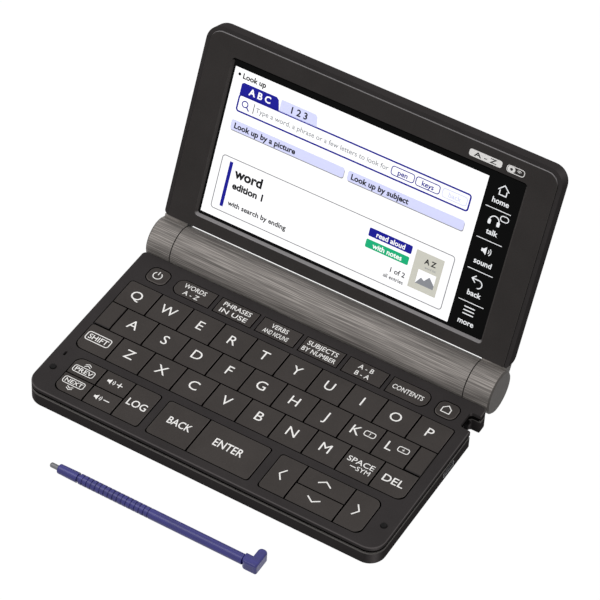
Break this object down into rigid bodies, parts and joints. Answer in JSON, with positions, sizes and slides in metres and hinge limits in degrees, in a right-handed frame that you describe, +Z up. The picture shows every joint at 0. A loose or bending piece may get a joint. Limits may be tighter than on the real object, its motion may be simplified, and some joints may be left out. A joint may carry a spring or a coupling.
{
  "type": "electronic dictionary",
  "caption": "Clamshell pocket electronic dictionary with a keyboard base, a cylindrical hinge barrel holding the batteries, a lid with a touch screen, and a loose stylus.",
  "frame": {"origin": "on the resting plane, under the middle of the whole as it lies: base, open lid and the stylus in front", "axes": "+X to the user's right, +Y from the user towards the hinge, +Z up from the table"},
  "size_m": [0.148, 0.1544, 0.0924],
  "materials": {
    "case_plastic": "matte",
    "barrel_paint": "satin",
    "bezel_plastic": "matte",
    "key_plastic": "matte",
    "screen_glass": "clear, glossy",
    "display": "glossy",
    "sheet_steel": "brushed",
    "screw_steel": "brushed",
    "bush_brass": "turned",
    "cell_can": "satin",
    "contact_plate": "polished",
    "board": "glossy",
    "rubber": "matte",
    "speaker_can": "brushed",
    "socket_shell": "brushed",
    "tube_plastic": "matte",
    "stylus_plastic": "glossy",
    "stylus_tip_metal": "brushed"
  },
  "bodies": {
    "base": {"lower_case": "case_plastic", "upper_case": "case_plastic", "barrel_shell": "barrel_paint", "battery_cells": "cell_can", "battery_contacts": "contact_plate", "hinge_bushes": "bush_brass", "main_board": "board", "key_membrane": "rubber", "speaker": "speaker_can", "rubber_pads": "rubber", "case_screws": "screw_steel", "usb_socket": "socket_shell", "stylus_tube": "tube_plastic"},
    "lid": {"lid_cover": "case_plastic", "lid_bezel": "bezel_plastic", "touch_panel": "screen_glass", "display_module": "display", "display_frame": "sheet_steel", "lid_screws": "screw_steel", "hinge_caps": "barrel_paint", "hinge_shafts": "screw_steel"},
    "battery_door": {"battery_cover": "case_plastic"},
    "stylus": {"stylus_body": "stylus_plastic", "stylus_tip": "stylus_tip_metal"},
    "key_q_body": {"key_q": "key_plastic"},
    "key_w_body": {"key_w": "key_plastic"},
    "key_e_body": {"key_e": "key_plastic"},
    "key_r_body": {"key_r": "key_plastic"},
    "key_t_body": {"key_t": "key_plastic"},
    "key_y_body": {"key_y": "key_plastic"},
    "key_u_body": {"key_u": "key_plastic"},
    "key_i_body": {"key_i": "key_plastic"},
    "key_o_body": {"key_o": "key_plastic"},
    "key_p_body": {"key_p": "key_plastic"},
    "key_a_body": {"key_a": "key_plastic"},
    "key_s_body": {"key_s": "key_plastic"},
    "key_d_body": {"key_d": "key_plastic"},
    "key_f_body": {"key_f": "key_plastic"},
    "key_g_body": {"key_g": "key_plastic"},
    "key_h_body": {"key_h": "key_plastic"},
    "key_j_body": {"key_j": "key_plastic"},
    "key_k_body": {"key_k": "key_plastic"},
    "key_l_body": {"key_l": "key_plastic"},
    "key_z_body": {"key_z": "key_plastic"},
    "key_x_body": {"key_x": "key_plastic"},
    "key_c_body": {"key_c": "key_plastic"},
    "key_v_body": {"key_v": "key_plastic"},
    "key_b_body": {"key_b": "key_plastic"},
    "key_n_body": {"key_n": "key_plastic"},
    "key_m_body": {"key_m": "key_plastic"},
    "shift_key_body": {"shift_key": "key_plastic"},
    "space_key_body": {"space_key": "key_plastic"},
    "delete_key_body": {"delete_key": "key_plastic"},
    "enter_key_body": {"enter_key": "key_plastic"},
    "back_key_body": {"back_key": "key_plastic"},
    "power_key_body": {"power_key": "key_plastic"},
    "home_key_body": {"home_key": "key_plastic"},
    "dictionary_keys_body": {"dictionary_keys": "key_plastic"},
    "cursor_keys_body": {"cursor_keys": "key_plastic"},
    "side_keys_body": {"side_keys": "key_plastic"}
  },
  "joints": [
    {"name": "lid_hinge", "type": "hinge", "parent": "base", "child": "lid", "pos_m": [0, 0.03635, 0.0097], "axis": [-1, 0, 0], "range_deg": [-112.2, 32.8]},
    {"name": "battery_cover_off", "type": "slide", "parent": "base", "child": "battery_door", "axis": [0, 0.6428, -0.766], "range_m": [0, 0.012]},
    {"name": "stylus_lift", "type": "slide", "parent": "base", "child": "stylus", "axis": [0, 0, 1], "range_m": [0, 0.12]},
    {"name": "key_q_press", "type": "slide", "parent": "base", "child": "key_q_body", "axis": [0, 0, -1], "range_m": [0, 0.0007], "stiffness_N_per_m": 300, "springref_m": -0.0002},
    {"name": "key_w_press", "type": "slide", "parent": "base", "child": "key_w_body", "axis": [0, 0, -1], "range_m": [0, 0.0007], "stiffness_N_per_m": 300, "springref_m": -0.0002},
    {"name": "key_e_press", "type": "slide", "parent": "base", "child": "key_e_body", "axis": [0, 0, -1], "range_m": [0, 0.0007], "stiffness_N_per_m": 300, "springref_m": -0.0002},
    {"name": "key_r_press", "type": "slide", "parent": "base", "child": "key_r_body", "axis": [0, 0, -1], "range_m": [0, 0.0007], "stiffness_N_per_m": 300, "springref_m": -0.0002},
    {"name": "key_t_press", "type": "slide", "parent": "base", "child": "key_t_body", "axis": [0, 0, -1], "range_m": [0, 0.0007], "stiffness_N_per_m": 300, "springref_m": -0.0002},
    {"name": "key_y_press", "type": "slide", "parent": "base", "child": "key_y_body", "axis": [0, 0, -1], "range_m": [0, 0.0007], "stiffness_N_per_m": 300, "springref_m": -0.0002},
    {"name": "key_u_press", "type": "slide", "parent": "base", "child": "key_u_body", "axis": [0, 0, -1], "range_m": [0, 0.0007], "stiffness_N_per_m": 300, "springref_m": -0.0002},
    {"name": "key_i_press", "type": "slide", "parent": "base", "child": "key_i_body", "axis": [0, 0, -1], "range_m": [0, 0.0007], "stiffness_N_per_m": 300, "springref_m": -0.0002},
    {"name": "key_o_press", "type": "slide", "parent": "base", "child": "key_o_body", "axis": [0, 0, -1], "range_m": [0, 0.0007], "stiffness_N_per_m": 300, "springref_m": -0.0002},
    {"name": "key_p_press", "type": "slide", "parent": "base", "child": "key_p_body", "axis": [0, 0, -1], "range_m": [0, 0.0007], "stiffness_N_per_m": 300, "springref_m": -0.0002},
    {"name": "key_a_press", "type": "slide", "parent": "base", "child": "key_a_body", "axis": [0, 0, -1], "range_m": [0, 0.0007], "stiffness_N_per_m": 300, "springref_m": -0.0002},
    {"name": "key_s_press", "type": "slide", "parent": "base", "child": "key_s_body", "axis": [0, 0, -1], "range_m": [0, 0.0007], "stiffness_N_per_m": 300, "springref_m": -0.0002},
    {"name": "key_d_press", "type": "slide", "parent": "base", "child": "key_d_body", "axis": [0, 0, -1], "range_m": [0, 0.0007], "stiffness_N_per_m": 300, "springref_m": -0.0002},
    {"name": "key_f_press", "type": "slide", "parent": "base", "child": "key_f_body", "axis": [0, 0, -1], "range_m": [0, 0.0007], "stiffness_N_per_m": 300, "springref_m": -0.0002},
    {"name": "key_g_press", "type": "slide", "parent": "base", "child": "key_g_body", "axis": [0, 0, -1], "range_m": [0, 0.0007], "stiffness_N_per_m": 300, "springref_m": -0.0002},
    {"name": "key_h_press", "type": "slide", "parent": "base", "child": "key_h_body", "axis": [0, 0, -1], "range_m": [0, 0.0007], "stiffness_N_per_m": 300, "springref_m": -0.0002},
    {"name": "key_j_press", "type": "slide", "parent": "base", "child": "key_j_body", "axis": [0, 0, -1], "range_m": [0, 0.0007], "stiffness_N_per_m": 300, "springref_m": -0.0002},
    {"name": "key_k_press", "type": "slide", "parent": "base", "child": "key_k_body", "axis": [0, 0, -1], "range_m": [0, 0.0007], "stiffness_N_per_m": 300, "springref_m": -0.0002},
    {"name": "key_l_press", "type": "slide", "parent": "base", "child": "key_l_body", "axis": [0, 0, -1], "range_m": [0, 0.0007], "stiffness_N_per_m": 300, "springref_m": -0.0002},
    {"name": "key_z_press", "type": "slide", "parent": "base", "child": "key_z_body", "axis": [0, 0, -1], "range_m": [0, 0.0007], "stiffness_N_per_m": 300, "springref_m": -0.0002},
    {"name": "key_x_press", "type": "slide", "parent": "base", "child": "key_x_body", "axis": [0, 0, -1], "range_m": [0, 0.0007], "stiffness_N_per_m": 300, "springref_m": -0.0002},
    {"name": "key_c_press", "type": "slide", "parent": "base", "child": "key_c_body", "axis": [0, 0, -1], "range_m": [0, 0.0007], "stiffness_N_per_m": 300, "springref_m": -0.0002},
    {"name": "key_v_press", "type": "slide", "parent": "base", "child": "key_v_body", "axis": [0, 0, -1], "range_m": [0, 0.0007], "stiffness_N_per_m": 300, "springref_m": -0.0002},
    {"name": "key_b_press", "type": "slide", "parent": "base", "child": "key_b_body", "axis": [0, 0, -1], "range_m": [0, 0.0007], "stiffness_N_per_m": 300, "springref_m": -0.0002},
    {"name": "key_n_press", "type": "slide", "parent": "base", "child": "key_n_body", "axis": [0, 0, -1], "range_m": [0, 0.0007], "stiffness_N_per_m": 300, "springref_m": -0.0002},
    {"name": "key_m_press", "type": "slide", "parent": "base", "child": "key_m_body", "axis": [0, 0, -1], "range_m": [0, 0.0007], "stiffness_N_per_m": 300, "springref_m": -0.0002},
    {"name": "shift_key_press", "type": "slide", "parent": "base", "child": "shift_key_body", "axis": [0, 0, -1], "range_m": [0, 0.0007], "stiffness_N_per_m": 300, "springref_m": -0.0002},
    {"name": "space_key_press", "type": "slide", "parent": "base", "child": "space_key_body", "axis": [0, 0, -1], "range_m": [0, 0.0007], "stiffness_N_per_m": 300, "springref_m": -0.0002},
    {"name": "delete_key_press", "type": "slide", "parent": "base", "child": "delete_key_body", "axis": [0, 0, -1], "range_m": [0, 0.0007], "stiffness_N_per_m": 300, "springref_m": -0.0002},
    {"name": "enter_key_press", "type": "slide", "parent": "base", "child": "enter_key_body", "axis": [0, 0, -1], "range_m": [0, 0.0007], "stiffness_N_per_m": 300, "springref_m": -0.0002},
    {"name": "back_key_press", "type": "slide", "parent": "base", "child": "back_key_body", "axis": [0, 0, -1], "range_m": [0, 0.0007], "stiffness_N_per_m": 300, "springref_m": -0.0002},
    {"name": "power_key_press", "type": "slide", "parent": "base", "child": "power_key_body", "axis": [0, 0, -1], "range_m": [0, 0.0007], "stiffness_N_per_m": 300, "springref_m": -0.0002},
    {"name": "home_key_press", "type": "slide", "parent": "base", "child": "home_key_body", "axis": [0, 0, -1], "range_m": [0, 0.0007], "stiffness_N_per_m": 300, "springref_m": -0.0002},
    {"name": "dictionary_keys_press", "type": "slide", "parent": "base", "child": "dictionary_keys_body", "axis": [0, 0, -1], "range_m": [0, 0.0007], "stiffness_N_per_m": 300, "springref_m": -0.0002},
    {"name": "cursor_keys_press", "type": "slide", "parent": "base", "child": "cursor_keys_body", "axis": [0, 0, -1], "range_m": [0, 0.0007], "stiffness_N_per_m": 300, "springref_m": -0.0002},
    {"name": "side_keys_press", "type": "slide", "parent": "base", "child": "side_keys_body", "axis": [0, 0, -1], "range_m": [0, 0.0007], "stiffness_N_per_m": 300, "springref_m": -0.0002}
  ]
}
